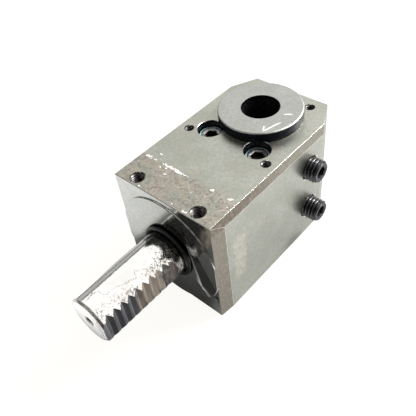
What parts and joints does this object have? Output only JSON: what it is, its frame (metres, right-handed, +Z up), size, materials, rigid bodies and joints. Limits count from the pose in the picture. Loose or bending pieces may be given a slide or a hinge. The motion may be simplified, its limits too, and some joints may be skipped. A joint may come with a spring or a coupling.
{
  "type": "right angle tool holder",
  "caption": "Steel block on a serrated round shank, with a flanged reduction bush at right angles to the shank that takes a round boring bar held by side clamp screws.",
  "frame": {"origin": "middle of the block's flat bottom face", "axes": "+Y from the shank to the back of the block, +Z up along the tool bore, +X out of the face with the clamp screws"},
  "size_m": [0.0563, 0.1235, 0.0572],
  "materials": {
    "blackened_steel": "blackened steel, satin, worn bright along its edges",
    "ground_steel": "ground and polished, stained in the serration",
    "bush_steel": "blackened steel, turned, satin",
    "zinc_plated_steel": "blue zinc plating",
    "black_oxide_steel": "black oxide, oily",
    "seal_rubber": "matte black"
  },
  "bodies": {
    "holder": {"holder_body": "blackened_steel", "round_shank": "ground_steel", "shank_seal_ring": "seal_rubber", "cap_screw_left": "zinc_plated_steel", "cap_screw_right": "zinc_plated_steel", "inlet_plug": "black_oxide_steel", "cross_channel_plug": "black_oxide_steel"},
    "bush": {"reduction_bush": "bush_steel", "bush_seal_ring_upper": "seal_rubber", "bush_seal_ring_lower": "seal_rubber"},
    "upper_clamp": {"clamp_screw_upper": "black_oxide_steel"},
    "lower_clamp": {"clamp_screw_lower": "black_oxide_steel"},
    "stop": {"stop_screw": "black_oxide_steel"}
  },
  "joints": [
    {"name": "bush_lift", "type": "slide", "parent": "holder", "child": "bush", "axis": [0, 0, 1], "range_m": [0, 0.05]},
    {"name": "upper_clamp_travel", "type": "slide", "parent": "holder", "child": "upper_clamp", "axis": [1, 0, 0], "range_m": [-0.0066, 0.0097]},
    {"name": "lower_clamp_travel", "type": "slide", "parent": "holder", "child": "lower_clamp", "axis": [1, 0, 0], "range_m": [-0.0076, 0.0087]},
    {"name": "stop_travel", "type": "slide", "parent": "holder", "child": "stop", "axis": [0, 0, 1], "range_m": [0, 0.004]}
  ]
}
